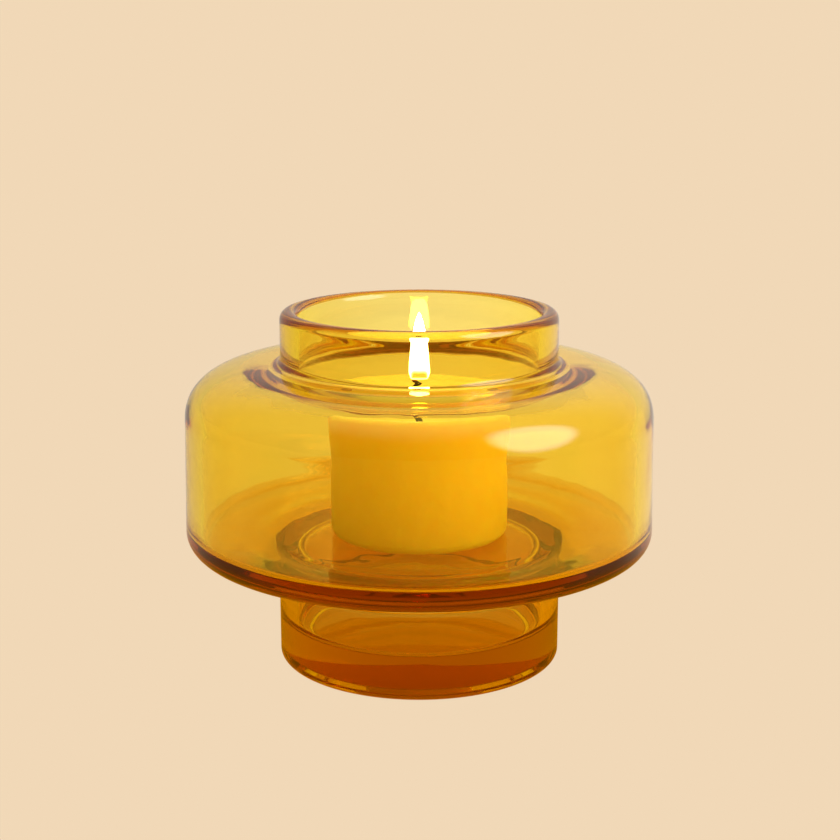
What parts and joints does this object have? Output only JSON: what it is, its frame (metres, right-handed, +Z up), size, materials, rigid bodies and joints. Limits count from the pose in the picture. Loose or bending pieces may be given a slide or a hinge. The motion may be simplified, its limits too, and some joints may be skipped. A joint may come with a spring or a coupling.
{
  "type": "tealight holder",
  "caption": "Amber blown-glass candle holder: a wide drum bowl with a short open neck on a hollow cylindrical foot, holding a lift-out votive candle with wick and metal sustainer.",
  "frame": {"origin": "middle of the flat underside of the foot, on the axis of the turned glass", "axes": "+Z up along the axis of the bowl, foot and candle; X and Y across, with the wick's tip bending towards -X"},
  "size_m": [0.1252, 0.1252, 0.0946],
  "materials": {
    "bowl_glass": "clear amber, polished",
    "foot_glass": "clear amber, polished, darker where it is thick",
    "wax": "ivory candle wax",
    "wick_cotton": "braided cotton, charred at the tip",
    "tinned_steel": "tinned sheet"
  },
  "bodies": {
    "holder": {"bowl": "bowl_glass", "foot": "foot_glass"},
    "candle": {"candle_wax": "wax", "wick": "wick_cotton", "wick_sustainer": "tinned_steel"}
  },
  "joints": [
    {"name": "candle_lift", "type": "slide", "parent": "holder", "child": "candle", "axis": [0, 0, 1], "range_m": [0, 0.07]}
  ]
}
